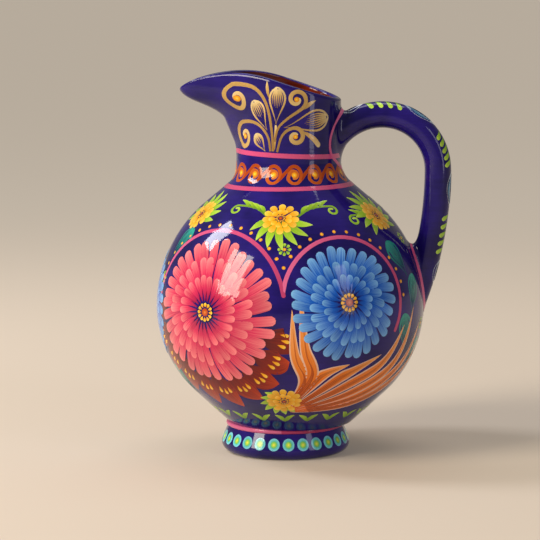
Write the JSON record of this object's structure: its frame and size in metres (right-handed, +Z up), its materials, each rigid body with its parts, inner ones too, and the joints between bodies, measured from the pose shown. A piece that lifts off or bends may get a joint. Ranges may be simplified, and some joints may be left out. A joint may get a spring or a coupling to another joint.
{
  "type": "clay pitcher",
  "caption": "Round hand-built clay pitcher with a beaked spout, waisted neck, loop handle and foot ring, painted with folk flowers under gloss varnish; holds and pours drinks.",
  "frame": {"origin": "centre of the foot ring's resting face, on the table", "axes": "+Z up, +X towards the handle, -X towards the spout, Y across the pitcher"},
  "size_m": [0.2163, 0.197, 0.2808],
  "materials": {
    "painted_body": "low-fired clay, deep blue paint with bright folk flowers, clear gloss varnish",
    "painted_neck": "low-fired clay, deep blue paint with gold scrolls, clear gloss varnish; terracotta inside",
    "painted_foot": "low-fired clay, deep blue paint with a row of dots, clear gloss varnish",
    "painted_handle": "low-fired clay, deep blue paint with leaves and petals, clear gloss varnish",
    "painted_line": "smoothed clay edged with a pink painted line, clear gloss varnish"
  },
  "bodies": {
    "root": {"foot_ring": "painted_foot", "lower_body": "painted_body", "upper_body": "painted_body", "neck_collar": "painted_neck", "mouth_wall": "painted_neck", "spout": "painted_neck", "handle": "painted_handle", "upper_luting_fillet": "painted_line", "lower_luting_fillet": "painted_line"}
  },
  "joints": []
}
